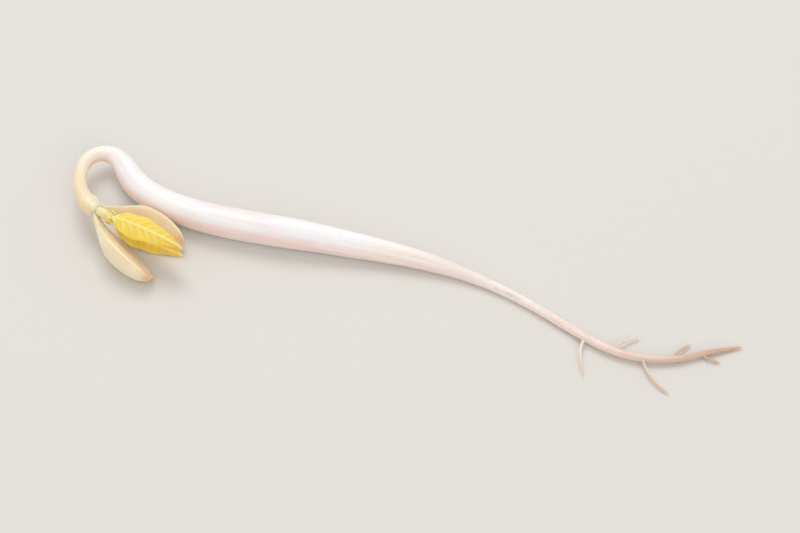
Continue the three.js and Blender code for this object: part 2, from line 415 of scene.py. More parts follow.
def new_tree(name, inputs):
    """A node group that takes and gives a mesh; inputs pairs each name with its kind of socket.

    Returns it, and the outputs that carry its inputs.
    """
    tree = bpy.data.node_groups.new(name, "GeometryNodeTree")
    for label, kind in {"Mesh": "Geometry", **inputs}.items():
        tree.interface.new_socket(label, in_out="INPUT", socket_type=f"NodeSocket{kind}")
    tree.interface.new_socket("Mesh", in_out="OUTPUT", socket_type="NodeSocketGeometry")
    return tree, add_node(tree, "NodeGroupInput").outputs


def end_tree(tree, mesh, material):
    """Ends a node group: real geometry only, and the material set."""
    real = add_node(tree, "GeometryNodeRealizeInstances", {0: mesh})
    painted = add_node(tree, "GeometryNodeSetMaterial", {0: real, 2: material})
    add_node(tree, "NodeGroupOutput", {0: painted})


def relief(tree, grain, cell, depth, seed):
    """Smooth relief between -depth and depth, its bumps as large as cell, across and along the piece."""
    scaled = add_node(tree, "ShaderNodeVectorMath", {0: grain, 1: cell}, operation="DIVIDE")
    bumpy = {0: scaled, "W": seed, "Scale": 1, "Detail": 1.5}
    bumps = add_node(tree, "ShaderNodeTexNoise", bumpy, noise_dimensions="4D")
    centred = add_node(tree, "ShaderNodeMath", {0: bumps, 1: 0.5}, operation="SUBTRACT")
    doubled = add_node(tree, "ShaderNodeMath", {0: centred, 1: 2}, operation="MULTIPLY")
    return add_node(tree, "ShaderNodeMath", {0: doubled, 1: depth}, operation="MULTIPLY")


def rest_on_floor(tree, mesh, softness):
    """Lets what would sink into the floor spread flat on it instead, with a soft edge."""
    place = add_node(tree, "GeometryNodeInputPosition")
    parts = add_node(tree, "ShaderNodeSeparateXYZ", {0: place}).outputs
    lifted = add_node(tree, "ShaderNodeMath", {0: parts["Z"], 1: 0.0, 2: softness}, operation="SMOOTH_MAX")
    back = add_node(tree, "ShaderNodeCombineXYZ", {"X": parts["X"], "Y": parts["Y"], "Z": lifted})
    return add_node(tree, "GeometryNodeSetPosition", {0: mesh, "Position": back})


@functools.cache
def ribbed_skin_tree():
    """Sweeps a round skin with fine lengthwise ribs and slow swellings along the paths of a mesh.

    It stores the grain: the place round the sprout, and the distance from the node, in metres. The
    relief is full where the skin is as thick as the stem at its widest, and less where it is thinner.
    """
    rib_stretch, swelling_stretch = (1, 1, 22), (0.5, 0.5, 1)
    sizes = dict.fromkeys(("Rib Width", "Rib Depth", "Swelling Length", "Swelling Depth", "Seed"), "Float")
    tree, given = new_tree("ribbed_skin", {"Sides": "Int", **sizes, "Material": "Material"})

    paths = add_node(tree, "GeometryNodeMeshToCurve", {0: given["Mesh"]})
    upright = add_node(tree, "GeometryNodeSetCurveNormal", {0: paths}, mode="Z_UP")
    circle = add_node(tree, "GeometryNodeCurvePrimitiveCircle", {"Resolution": given["Sides"], "Radius": 1.0})
    place = add_node(tree, "GeometryNodeInputPosition")
    round_mark = {0: circle, "Name": "around", 3: place}
    ring = add_node(tree, "GeometryNodeStoreNamedAttribute", round_mark, data_type="FLOAT_VECTOR")
    girth = add_node(tree, "GeometryNodeInputNamedAttribute", {"Name": "girth"}, data_type="FLOAT")
    swept = {0: upright, 1: ring, "Scale": girth, "Fill Caps": True}
    tube = add_node(tree, "GeometryNodeCurveToMesh", swept)

    around = add_node(tree, "GeometryNodeInputNamedAttribute", {"Name": "around"}, data_type="FLOAT_VECTOR")
    along = add_node(tree, "GeometryNodeInputNamedAttribute", {"Name": "along"}, data_type="FLOAT")
    ahead = add_node(tree, "ShaderNodeCombineXYZ", {"Z": along})
    spread = {0: around, 1: (WIDEST * MM,) * 3, 2: ahead}
    grain = add_node(tree, "ShaderNodeVectorMath", spread, operation="MULTIPLY_ADD")
    grain_mark = {0: tube, "Name": "grain", 3: grain}
    marked = add_node(tree, "GeometryNodeStoreNamedAttribute", grain_mark, data_type="FLOAT_VECTOR")

    rib = {0: rib_stretch, "Scale": given["Rib Width"]}
    rib_cell = add_node(tree, "ShaderNodeVectorMath", rib, operation="SCALE")
    ribs = relief(tree, grain, rib_cell, given["Rib Depth"], given["Seed"])
    swelling = {0: swelling_stretch, "Scale": given["Swelling Length"]}
    swelling_cell = add_node(tree, "ShaderNodeVectorMath", swelling, operation="SCALE")
    swellings = relief(tree, grain, swelling_cell, given["Swelling Depth"], given["Seed"])
    both = add_node(tree, "ShaderNodeMath", {0: ribs, 1: swellings}, operation="ADD")
    slimness = add_node(tree, "ShaderNodeMath", {0: girth, 1: WIDEST * MM}, operation="DIVIDE")
    slimmed = add_node(tree, "ShaderNodeMath", {0: both, 1: slimness}, operation="MULTIPLY")
    uneven = add_node(tree, "GeometryNodeInputNamedAttribute", {"Name": "uneven"}, data_type="FLOAT")
    height = add_node(tree, "ShaderNodeMath", {0: slimmed, 1: uneven}, operation="MULTIPLY")
    normal = add_node(tree, "GeometryNodeInputNormal")
    offset = add_node(tree, "ShaderNodeVectorMath", {0: normal, "Scale": height}, operation="SCALE")
    ribbed = add_node(tree, "GeometryNodeSetPosition", {0: marked, "Offset": offset})

    resting = rest_on_floor(tree, ribbed, softness=0.12 * MM)
    smooth = add_node(tree, "GeometryNodeSetShadeSmooth", {0: resting})
    end_tree(tree, smooth, given["Material"])
    return tree


@functools.cache
def root_hair_tree():
    """Sets fine bent hairs on the upper part of the root, and gives the hairs alone."""
    foot_radius, tip_radius, unit_length = 0.018 * MM, 0.006 * MM, 1 * MM
    most_lean, most_turn = 0.7, 3.1  # in radians
    shortest, longest = 0.45, 1.2  # shares of the given length
    lowest_facing = -0.2  # no hairs on the underside, which lies on the floor
    bend, bends_per_metre = 0.3 * MM, 1800
    inputs = {"Density": "Float", "Length": "Float", "Seed": "Int", "Material": "Material"}
    tree, given = new_tree("root_hairs", inputs)

    grain = add_node(tree, "GeometryNodeInputNamedAttribute", {"Name": "grain"}, data_type="FLOAT_VECTOR")
    along = add_node(tree, "ShaderNodeSeparateXYZ", {0: grain}).outputs["Z"]
    begin = {0: along, 1: HAIRS_BEGIN[0] * MM, 2: HAIRS_BEGIN[1] * MM, 3: 0.0, 4: 1.0}
    begun = add_node(tree, "ShaderNodeMapRange", begin, interpolation_type="SMOOTHSTEP")
    fade = {0: along, 1: HAIRS_END[0] * MM, 2: HAIRS_END[1] * MM, 3: begun, 4: 0.0}
    faded = add_node(tree, "ShaderNodeMapRange", fade, interpolation_type="SMOOTHSTEP")
    per_square_metre = add_node(tree, "ShaderNodeMath", {0: given["Density"], 1: 1e6}, operation="MULTIPLY")
    density = add_node(tree, "ShaderNodeMath", {0: per_square_metre, 1: faded}, operation="MULTIPLY")
    normal = add_node(tree, "GeometryNodeInputNormal")
    facing = add_node(tree, "ShaderNodeSeparateXYZ", {0: normal}).outputs["Z"]
    free = add_node(tree, "FunctionNodeCompare", {0: facing, 1: lowest_facing}, operation="GREATER_THAN")
    sown = {0: given["Mesh"], "Selection": free, "Density": density, "Seed": given["Seed"]}
    feet = add_node(tree, "GeometryNodeDistributePointsOnFaces", sown)

    cone = {"Radius Top": tip_radius, "Radius Bottom": foot_radius, "Depth": unit_length}
    hair = add_node(tree, "GeometryNodeMeshCone", {"Vertices": 5, "Side Segments": 4, **cone})
    leans = {
        0: (-most_lean, -most_lean, -most_turn),
        1: (most_lean, most_lean, most_turn),
        "Seed": given["Seed"],
    }
    lean = add_node(tree, "FunctionNodeRandomValue", leans, data_type="FLOAT_VECTOR")
    upright = feet.outputs["Rotation"]
    turned = add_node(tree, "FunctionNodeRotateRotation", {0: upright, 1: lean}, rotation_space="LOCAL")
    shares = {2: shortest, 3: longest, "Seed": given["Seed"]}
    share = add_node(tree, "FunctionNodeRandomValue", shares, data_type="FLOAT").outputs[1]
    reach = add_node(tree, "ShaderNodeMath", {0: share, 1: given["Length"]}, operation="MULTIPLY")
    stretch = add_node(tree, "ShaderNodeMath", {0: reach, 1: unit_length}, operation="DIVIDE")
    size = add_node(tree, "ShaderNodeCombineXYZ", {"X": 1.0, "Y": 1.0, "Z": stretch})
    grown = {0: feet, 2: hair, "Rotation": turned, "Scale": size}
    hairs = add_node(tree, "GeometryNodeInstanceOnPoints", grown)

    real = add_node(tree, "GeometryNodeRealizeInstances", {0: hairs})
    place = add_node(tree, "GeometryNodeInputPosition")
    bends = add_node(tree, "ShaderNodeTexNoise", {0: place, "Scale": bends_per_metre, "Detail": 0})
    drift = {0: bends.outputs["Color"], 1: (0.5, 0.5, 0.5)}
    centred = add_node(tree, "ShaderNodeVectorMath", drift, operation="SUBTRACT")
    offset = add_node(tree, "ShaderNodeVectorMath", {0: centred, "Scale": bend}, operation="SCALE")
    bent = add_node(tree, "GeometryNodeSetPosition", {0: real, "Offset": offset})
    resting = rest_on_floor(tree, bent, softness=0.02 * MM)
    end_tree(tree, resting, given["Material"])
    return tree


def grown_mesh(name, mesh, tree, inputs):
    """Runs a node group on a mesh, with its inputs set, and returns the result as a plain mesh."""
    carrier = bpy.data.objects.new(name, mesh)
    bpy.context.scene.collection.objects.link(carrier)
    modifier = carrier.modifiers.new("growth", "NODES")
    modifier.node_group = tree
    for item in tree.interface.items_tree:
        if item.item_type == "SOCKET" and item.in_out == "INPUT" and item.name in inputs:
            modifier[item.identifier] = inputs[item.name]
    carrier.update_tag()
    evaluated = carrier.evaluated_get(bpy.context.evaluated_depsgraph_get())
    grown = bpy.data.meshes.new_from_object(evaluated)
    bpy.data.objects.remove(carrier)
    if not grown.polygons:
        raise RuntimeError(f"{name} came out empty")
    return grown


def add_piece(name, mesh, material, slot, *nodes):
    """Makes an object of the mesh, rides it on the sprout and hides the CAD nodes that it stands for."""
    if name in bpy.data.objects:
        raise RuntimeError(f"{name} is already there")
    mesh.name = name
    mesh.materials.clear()
    mesh.materials.append(material)
    piece = bpy.data.objects.new(name, mesh)
    bpy.context.scene.collection.objects.link(piece)
    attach(piece, BODY)
    if nodes:
        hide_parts(*nodes)


def loft(name, places, side_count, spot, tint, ends, matrix):
    """A closed smooth mesh through rings of points, put in place by matrix.

    For a place along the piece and an angle round it, spot gives the point, in the piece's own
    millimetres, and tint gives its tint; ends are the two points that close the piece. The mesh
    stores the tint and the grain, which is each point's place in the piece's own frame, in metres.
    What would sink into the floor lies flat on it.
    """
    grid = [(place, 2 * math.pi * j / side_count) for place in places for j in range(side_count)]
    points = [spot(place, angle) for place, angle in grid] + list(ends)
    tints = [tint(place, angle) for place, angle in grid] + [tint(places[0], 0), tint(places[-1], 0)]
    faces = []
    last = len(grid) - side_count
    for ring in range(0, last, side_count):
        for j in range(side_count):
            here, there = ring + j, ring + (j + 1) % side_count
            faces.append((here, there, there + side_count, here + side_count))
    for j in range(side_count):
        faces.append((len(grid), (j + 1) % side_count, j))
        faces.append((len(grid) + 1, last + j, last + (j + 1) % side_count))
    mesh = bpy.data.meshes.new(name)
    mesh.from_pydata([point * MM for point in points], [], faces)
    shell = bmesh.new()
    shell.from_mesh(mesh)
    bmesh.ops.recalc_face_normals(shell, faces=shell.faces)
    shell.to_mesh(mesh)
    shell.free()
    grain = [value * MM for point in points for value in point]
    mesh.attributes.new("grain", "FLOAT_VECTOR", "POINT").data.foreach_set("vector", grain)
    mesh.attributes.new("tint", "FLOAT", "POINT").data.foreach_set("value", tints)
    mesh.transform(matrix)
    for vertex in mesh.vertices:
        vertex.co.z = max(vertex.co.z, 0)
    mesh.shade_smooth()
    return mesh


def placed(matrix):
    """A matrix in the head's own millimetres, as one in the sprout's metres."""
    centre, _ = section(0)
    head = (
        Matrix.Translation(centre + NODE_PLACE)
        @ Matrix.Rotation(heading_at(0) + math.pi + math.radians(HEAD_TURN), 4, "Z")
        @ Matrix.Rotation(math.radians(HEAD_PITCH), 4, "Y")
    )
    return Matrix.Scale(MM, 4) @ head @ matrix @ Matrix.Scale(1 / MM, 4)


def leaning(lean):
    """Leans a pair of pieces to one side, round the head's own length."""
    return Matrix.Rotation(math.radians(-lean), 4, "X")


# Bean halves


def bean_half(name, side, lean, opening, settings):
    """One bean half: domed outside, hollowed a little inside, wrinkled lengthwise, narrow at its stalk."""
    ring_count, side_count = 120, 96
    stalk_width, bluntness = 0.45, 0.74
    furrow_length, furrows_round, own_furrows = 4, 2.6, side * 9
    edge_swell, hollow = 0.085, 0.05  # of the inner face, as shares of the thickness
    tuck_back, tuck_in = 0.75, 0.5  # how far the stalk reaches back and in, to meet the node
    wrinkle = settings.wrinkle_depth / MM

    def spot(x, angle):
        ring = math.sqrt(max(1 - x * x, 0))
        reach = ring**bluntness * lerp(1, stalk_width, smoothstep(-x))
        cosine, sine = math.cos(angle), math.sin(angle)
        along = HALF_LENGTH / 2 * (1 + x)
        furrow = Vector((along / furrow_length, cosine * furrows_round, sine * furrows_round + own_furrows))
        reach *= 1 + noise.fractal(furrow, 0.6, 2.0, 2) * wrinkle / 2 * min(ring * 2, 1)
        across = cosine * reach * HALF_WIDTH / 2 - HALF_BOW * (1 - x * x)
        if sine > 0:
            out = sine * reach * HALF_THICKNESS
        else:
            swell = edge_swell * math.sqrt(-sine)
            out = HALF_THICKNESS * reach * (hollow * smoothstep(-sine, 0.5, 1.0) - swell)
        to_node = smoothstep(-x, 0.6, 1.0)
        return Vector((along - tuck_back * to_node, across, side * (out - tuck_in * to_node)))

    def tint(x, angle):
        """0 outside, up to a half at the rim and the stalk, and 1 on the inner face."""
        sine = math.sin(angle)
        inside = smoothstep(-sine, -0.05, 0.25)
        rim = 1 - smoothstep(abs(sine), 0.0, 0.35)
        stalk = smoothstep(-x, 0.45, 0.95)
        return 0.5 * max(rim, stalk) if sine > 0.05 else max(inside, 0.5 * rim)

    places = [-math.cos(math.pi * k / ring_count) for k in range(1, ring_count)]
    opened = Matrix.Rotation(math.radians(-side * opening), 4, "Y")
    start = Matrix.Translation((HALF_START[0], 0, side * HALF_START[1]))
    matrix = placed(leaning(lean) @ start @ opened)
    return loft(name, places, side_count, spot, tint, (spot(-1, 0), spot(1, 0)), matrix)


# Shoot and first leaves


def leaf_outline(u):
    """Half of the leaf's width, as a share of its widest: stalk before 0, pointed tip at 1."""
    tip_width, tip_start = 0.08, 0.84
    if u < 0:
        return LEAF_FOOT * lerp(1, 0.7, smoothstep(-u, 0, 0.04))
    ends = lerp(LEAF_FOOT, tip_width, u)
    body = ends + (1 - ends) * math.sin(math.pi * u**0.7) * (1 - 0.3 * u)
    return body * math.sqrt(max(1 - smoothstep(u, tip_start, 1.0) ** 2, 0.0004))


def leaf_veins(along, across, edge, settings):
    """Strength of the midrib, strength of the side veins, and height of the pleats between them."""
    spacing = settings.vein_spacing / MM
    midrib_width, vein_width, vein_slant = 0.15, 0.09, 0.85
    veins_begin, veins_end = (0.4, 1.6), (5.9, 7.4)
    midrib = math.exp(-((across / midrib_width) ** 2))
    phase = (along - vein_slant * abs(across)) / spacing
    off = abs(phase - round(phase)) * spacing
    window = smoothstep(along, *veins_begin) * (1 - smoothstep(along, *veins_end))
    side_vein = math.exp(-((off / vein_width) ** 2)) * window * (1 - smoothstep(abs(edge), 0.75, 1.0))
    pleat = math.cos(2 * math.pi * phase) * window * (1 - edge**4) * (1 - midrib)
    return midrib, side_vein, pleat


def first_leaf(name, side, swing, settings):
    """A pointed yellow leaf: arched, pleated between its side veins, with a wavy margin and a stalk."""
    ring_count, side_count, stalk_start = 130, 88, -0.062
    stalk_radius = 0.2
    tuck = 0.22  # how far the stalk dips into the shoot
    wave_height, wave_count, wave_slant = 0.16, 3.1, 0.13
    midrib_height, vein_height = 0.1, 0.045
    underside = 0.4  # the share of their height that the ribs have underneath
    thickness, pleat_depth = settings.thickness / MM, settings.pleat_depth / MM

    def spot(u, angle):
        edge, face = math.cos(angle), math.sin(angle)
        half_width = leaf_outline(u) * LEAF_WIDTH / 2
        along, across = LEAF_LENGTH * u, edge * half_width
        blade = smoothstep(u, 0.0, 0.12)
        midrib, side_vein, pleat = leaf_veins(along, across, edge, settings)
        half_thick = lerp(stalk_radius, thickness / 2, blade) * min(1, half_width / stalk_radius)
        skin = math.copysign(abs(face) ** 0.6, face) * half_thick
        arch = LEAF_ARCH * (1 - edge * edge) * leaf_outline(u)
        rise = LEAF_RISE * math.sin(math.pi * max(u, 0))
        turn = 2 * math.pi * (wave_count * u + 0.2 * side + wave_slant * edge)
        wave = wave_height * abs(edge) ** 3 * math.sin(turn) * blade
        rib = (midrib_height * midrib + vein_height * side_vein) * abs(face) * blade
        rib *= 1 if face > 0 else underside
        fold = pleat_depth * pleat * blade
        to_shoot = tuck * smoothstep(-u, 0, -stalk_start)
        return Vector((along, across, arch + rise + wave + skin + rib + fold - to_shoot))

    def tint(u, angle):
        """0 on the open blade, and up to 1 on the midrib and the stalk."""
        edge = math.cos(angle)
        along, across = LEAF_LENGTH * u, edge * leaf_outline(u) * LEAF_WIDTH / 2
        midrib, side_vein, _ = leaf_veins(along, across, edge, settings)
        stalk = 1 - smoothstep(u, 0.0, 0.1)
        return max(midrib, 0.7 * side_vein, stalk)

    def middle(u):
        ring = [spot(u, 2 * math.pi * j / side_count) for j in range(side_count)]
        return sum(ring, Vector()) / side_count

    places = [lerp(stalk_start, 0.999, k / ring_count) for k in range(ring_count + 1)]
    ends = middle(places[0]), middle(places[-1])
    start = Matrix.Translation((LEAF_START[0], LEAF_START[1], side * LEAF_START[2]))
    swung = Matrix.Rotation(math.radians(swing), 4, "Z")
    flipped = Matrix.Rotation(0 if side > 0 else math.pi, 4, "X")
    matrix = placed(leaning(LEAF_LEAN) @ start @ swung @ flipped)
    return loft(name, places, side_count, spot, tint, ends, matrix)


def bud_tint(spot):
    """The tint of a piece whose points spot gives: 0 on the shoot, and up to 1 at the bud."""
    return lambda place, angle: smoothstep(spot(place, angle).x, 1.0, 2.2)


def bud_stalk(name):
    """The short shoot between the bean halves, the bud that it swells to, and the bud's point."""
    profile = (  # along the head, radius
        (-0.5, 0.3), (-0.2, 0.44), (0.2, SHOOT_RADIUS), (1.2, SHOOT_RADIUS), (1.5, 0.52), (1.75, 0.58),
        (1.98, BUD_RADIUS), (2.2, 0.57), (2.36, 0.46), (2.47, 0.3), (2.6, 0.22), (2.82, 0.17), (3.07, 0.09),
        (3.14, 0.03),
    )
    side_count, rings_between = 48, 6
    rib_length, ribs_round, rib_height = 1.5, 2.5, 0.05

    def spot(k, angle):
        i = min(k // rings_between, len(profile) - 2)
        share = k / rings_between - i
        x, radius = (lerp(profile[i][c], profile[i + 1][c], share) for c in (0, 1))
        y, z = math.cos(angle), math.sin(angle)
        rib = 1 + rib_height * noise.noise(Vector((x / rib_length, y * ribs_round, z * ribs_round)))
        return Vector((x, y * radius * rib, z * radius * rib))

    places = range((len(profile) - 1) * rings_between + 1)
    ends = Vector((profile[0][0], 0, 0)), Vector((profile[-1][0] + 0.02, 0, 0))
    return loft(name, places, side_count, spot, bud_tint(spot), ends, placed(Matrix.Identity(4)))


def bud_scale(name, turn):
    """A tiny pointed scale beside the leaves' feet; turn is its place round the shoot, in degrees."""
    side_count, ring_count = 24, 24
    first, reach, width = 1.3, 1.4, 0.5
    foot_height, crown_height, tip_drop = 0.4, 0.68, 0.1  # over the shoot's middle
    foot_thickness, tip_thickness, curl = 0.06, 0.02, 0.8

    def spot(u, angle):
        breadth = width / 2 * (math.sin(math.pi * u**0.6) ** 0.8 + 0.03)
        crown = lerp(foot_height, crown_height, smoothstep(u, 0.0, 0.45))
        across = math.cos(angle) * breadth
        lift = crown - tip_drop * smoothstep(u, 0.5, 1.0) - curl * across * across
        out = lift + math.sin(angle) * lerp(foot_thickness, tip_thickness, u)
        return Vector((first + reach * u, across, out))

    places = [k / ring_count for k in range(1, ring_count)]
    ends = Vector((first, 0, foot_height)), Vector((first + reach, 0, crown_height - tip_drop))
    turned = Matrix.Rotation(math.radians(turn), 4, "X")
    return loft(name, places, side_count, spot, bud_tint(spot), ends, placed(turned))


# Materials


def new_material(name):
    """A material with an empty tree; returns both."""
    material = bpy.data.materials.new(name)
    material.use_nodes = True
    material.node_tree.nodes.clear()
    return material, material.node_tree


def end_material(tree, sockets):
    """Ends a material: the shader, with its sockets set or linked, and the output."""
    shader = add_node(tree, "ShaderNodeBsdfPrincipled", sockets)
    add_node(tree, "ShaderNodeOutputMaterial", {0: shader})


def patches(tree, grain, cell, detail=2.0):
    """Soft patches from 0 to 1, as large as cell says, in millimetres, along the grain's three axes."""
    sizes = tuple(size * MM for size in cell)
    scaled = add_node(tree, "ShaderNodeVectorMath", {0: grain, 1: sizes}, operation="DIVIDE")
    soft = {0: scaled, "Scale": 1.0, "Detail": detail, "Roughness": 0.55}
    return add_node(tree, "ShaderNodeTexNoise", soft)


def blended_over(tree, base, overlay, value, low, high, most, fade=1.0):
    """The base colour, with another laid over it where a value runs from low up to high.

    The overlay covers a share of most at its strongest, times the fade. It carries real stains, streaks and
    tints, and on the stem also the painted warm glow along both sides.
    """
    spread = {0: value, 1: low, 2: high, 4: most}
    cover = add_node(tree, "ShaderNodeMapRange", spread, interpolation_type="SMOOTHSTEP")
    share = add_node(tree, "ShaderNodeMath", {0: cover, 1: fade}, operation="MULTIPLY")
    return add_node(tree, "ShaderNodeMix", {0: share, 6: base, 7: overlay}, data_type="RGBA").outputs[2]


def fine_relief(tree, grain, cell, depth):
    """A normal for relief too fine for the mesh; its cell and depth are in millimetres."""
    height = patches(tree, grain, cell, 3)
    return add_node(tree, "ShaderNodeBump", {"Strength": 1.0, "Distance": depth * MM, "Height": height})


def grain_of(tree):
    """The grain attribute, and its three parts, of which the last is the distance from the node on a skin."""
    grain = add_node(tree, "ShaderNodeAttribute", attribute_name="grain").outputs["Vector"]
    return grain, add_node(tree, "ShaderNodeSeparateXYZ", {0: grain}).outputs


def colour_stops(tree, value, stops):
    """A colour for each distance in millimetres, blended in between."""
    longest = stops[-1][0]
    share = add_node(tree, "ShaderNodeMath", {0: value, 1: longest * MM}, operation="DIVIDE")
    ramp = add_node(tree, "ShaderNodeValToRGB", {0: share})
    elements = ramp.color_ramp.elements
    while len(elements) < len(stops):
        elements.new(0.5)
    for element, (distance, shade) in zip(elements, stops):
        element.position = distance / longest
        element.color = shade
    return ramp


def lit_depth(tree, full):
    """Subsurface weight: full, but none where a hidden end leaves the plant's inside dark."""
    clear = add_node(tree, "ShaderNodeAttribute", attribute_name="clear").outputs["Fac"]
    return add_node(tree, "ShaderNodeMath", {0: clear, 1: full}, operation="MULTIPLY")


@functools.cache
def moist_stem_skin():
    """Living stem skin, thin and wet over a milky core.

    Light goes deep into it, so its edges glow. It is whitest where plump and cream at the neck. It has a
    painted warm glow along both sides that stands in for light shining through the edges, faint blushes and
    lengthwise fibres, a few specks and a soft wet gloss.
    """
    settings = bpy.context.scene.sprout.stem
    fibre, speck = linear("#fffdfa"), linear("#cf9f6c")
    material, tree = new_material("moist_stem_skin")
    grain, parts = grain_of(tree)
    uneven = add_node(tree, "ShaderNodeAttribute", attribute_name="uneven").outputs["Fac"]
    stops = (
        (0, settings.neck),
        (5, linear("#f6deb6")),
        (9.5, linear("#fbeee4")),
        (13, settings.skin),
        (38, settings.skin),
        (45, linear("#f7ebe5")),
        (STEM_END, settings.collar),
    )
    base = colour_stops(tree, parts["Z"], stops)
    # Painted warm glow: the skin is tinted warmer towards both sides across the stem, painted in for light
    # that shines through the edges.
    painted_edge_glow = add_node(tree, "ShaderNodeMath", {0: parts["X"]}, operation="ABSOLUTE")
    base = blended_over(tree, base, settings.painted_edge_glow, painted_edge_glow, 0.7 * WIDEST * MM, WIDEST * MM, 0.6, uneven)
    base = blended_over(tree, base, settings.blush, patches(tree, grain, (1.3, 1.3, 14)), 0.45, 0.75, 0.5, uneven)
    base = blended_over(tree, base, fibre, patches(tree, grain, (0.3, 0.3, 12), 3), 0.42, 0.68, 0.5, uneven)
    base = blended_over(tree, base, speck, patches(tree, grain, (0.5, 0.5, 0.8), 1), 0.74, 0.8, 0.4, uneven)
    wetness = patches(tree, grain, (1.2, 1.2, 4))
    gloss = add_node(tree, "ShaderNodeMapRange", {0: wetness, 1: 0.3, 2: 0.7, 3: 0.28, 4: 0.42})
    end_material(
        tree,
        {
            "Base Color": base,
            "Roughness": gloss,
            "IOR": 1.4,
            "Subsurface Weight": lit_depth(tree, 0.85),
            "Subsurface Radius": (1.0, 0.62, 0.42),
            "Subsurface Scale": 1.6 * MM,
            "Coat Weight": 0.25,
            "Coat Roughness": 0.18,
            "Normal": fine_relief(tree, grain, (0.16, 0.16, 2.4), 0.01),
        },
    )
    return material


@functools.cache
def thin_root_skin():
    """Thin root skin, dull and a little shrunken.

    It is pale below the stem and tan at the tip, with faint tan stains and paler lengthwise streaks.
    """
    settings = bpy.context.scene.sprout.root
    collar, overlay, streak = bpy.context.scene.sprout.stem.collar, linear("#d0a27e"), linear("#fdf4ef")
    material, tree = new_material("thin_root_skin")
    grain, parts = grain_of(tree)
    uneven = add_node(tree, "ShaderNodeAttribute", attribute_name="uneven").outputs["Fac"]
    stops = (
        (0, collar),
        (STEM_END, collar),
        (56, settings.skin),
        (66, linear("#f3dfd2")),
        (ROOT_END, settings.tip),
    )
    base = colour_stops(tree, parts["Z"], stops)
    base = blended_over(tree, base, overlay, patches(tree, grain, (1.5, 1.5, 2.2)), 0.48, 0.78, 0.38, uneven)
    base = blended_over(tree, base, streak, patches(tree, grain, (0.4, 0.4, 5), 3), 0.45, 0.7, 0.5, uneven)
    end_material(
        tree,
        {
            "Base Color": base,
            "Roughness": 0.5,
            "IOR": 1.4,
            "Subsurface Weight": lit_depth(tree, 0.7),
            "Subsurface Radius": (1.0, 0.6, 0.4),
            "Subsurface Scale": 0.4 * MM,
            "Normal": fine_relief(tree, grain, (0.25, 0.25, 1.6), 0.014),
        },
    )
    return material


@functools.cache
def waxy_bean_flesh():
    """Flesh of a bean half, waxy and nearly opaque, wrinkled lengthwise.

    It is cream outside, yellower at the rim and stalk, and tan where its tip has dried.
    """
    settings = bpy.context.scene.sprout.bean
    mottle, streak = linear("#f6d7ac"), linear("#fdf0d4")
    material, tree = new_material("waxy_bean_flesh")
    grain, parts = grain_of(tree)
    tint = add_node(tree, "ShaderNodeAttribute", attribute_name="tint").outputs["Fac"]
    cloudy = patches(tree, grain, (2.6, 1.3, 1.3))
    base = blended_over(tree, settings.flesh, settings.rim, tint, 0.0, 0.5, 1.0)
    base = blended_over(tree, base, settings.inside, tint, 0.5, 1.0, 1.0)
    base = blended_over(tree, base, mottle, cloudy, 0.4, 0.72, 0.4)
    base = blended_over(tree, base, streak, patches(tree, grain, (1.8, 0.35, 0.35), 3), 0.48, 0.7, 0.55)
    ragged = add_node(tree, "ShaderNodeMath", {0: cloudy, 1: 3 * MM, 2: parts["X"]}, operation="MULTIPLY_ADD")
    base = blended_over(tree, base, settings.tip, ragged, 8.8 * MM, 11.2 * MM, 0.7)
    waxed = add_node(tree, "ShaderNodeMapRange", {0: cloudy, 1: 0.3, 2: 0.7, 3: 0.36, 4: 0.48})
    end_material(
        tree,
        {
            "Base Color": base,
            "Roughness": waxed,
            "IOR": 1.42,
            "Subsurface Weight": 0.6,
            "Subsurface Radius": (1.0, 0.62, 0.35),
            "Subsurface Scale": 0.8 * MM,
            "Coat Weight": 0.1,
            "Coat Roughness": 0.3,
            "Normal": fine_relief(tree, grain, (1.6, 0.22, 0.22), 0.018),
        },
    )
    return material


@functools.cache
def young_leaf_blade():
    """A first leaf grown in the dark: thin, bright yellow and satin, with paler veins and a golden end."""
    settings = bpy.context.scene.sprout.leaf
    deep_yellow = linear("#f5cd42")
    material, tree = new_material("young_leaf_blade")
    grain, parts = grain_of(tree)
    tint = add_node(tree, "ShaderNodeAttribute", attribute_name="tint").outputs["Fac"]
    base = blended_over(tree, settings.blade, settings.tip, parts["X"], 4.8 * MM, LEAF_LENGTH * MM, 0.75)
    base = blended_over(tree, base, deep_yellow, patches(tree, grain, (0.7, 0.45, 0.45), 3), 0.4, 0.7, 0.45)
    base = blended_over(tree, base, settings.vein, tint, 0.15, 0.95, 0.6)
    end_material(
        tree,
        {
            "Base Color": base,
            "Roughness": 0.4,
            "IOR": 1.42,
            "Subsurface Weight": 0.5,
            "Subsurface Radius": (1.0, 0.8, 0.2),
            "Subsurface Scale": 0.5 * MM,
            "Normal": fine_relief(tree, grain, (0.3, 0.16, 0.16), 0.01),
        },
    )
    return material


@functools.cache
def tender_shoot_skin():
    """Tender shoot skin, pale yellow and translucent, deeper yellow at the bud, with pale fine streaks."""
    settings = bpy.context.scene.sprout.leaf
    streak = linear("#fbf4d2")
    material, tree = new_material("tender_shoot_skin")
    grain, _ = grain_of(tree)
    tint = add_node(tree, "ShaderNodeAttribute", attribute_name="tint").outputs["Fac"]
    base = blended_over(tree, settings.shoot, settings.blade, tint, 0.0, 1.0, 0.6)
    base = blended_over(tree, base, streak, patches(tree, grain, (1.4, 0.2, 0.2), 3), 0.45, 0.7, 0.4)
    end_material(
        tree,
        {
            "Base Color": base,
            "Roughness": 0.42,
            "IOR": 1.4,
            "Subsurface Weight": 0.5,
            "Subsurface Radius": (1.0, 0.72, 0.35),
            "Subsurface Scale": 0.4 * MM,
            "Normal": fine_relief(tree, grain, (1.1, 0.13, 0.13), 0.008),
        },
    )
    return material


def matte_floor_paper():
    """Smooth matte paper, which keeps the floor plain and the shadows soft."""
    material, tree = new_material("matte_floor_paper")
    end_material(tree, {"Base Color": bpy.context.scene.sprout.stage.floor, "Roughness": 0.7})
    return material


# Operators


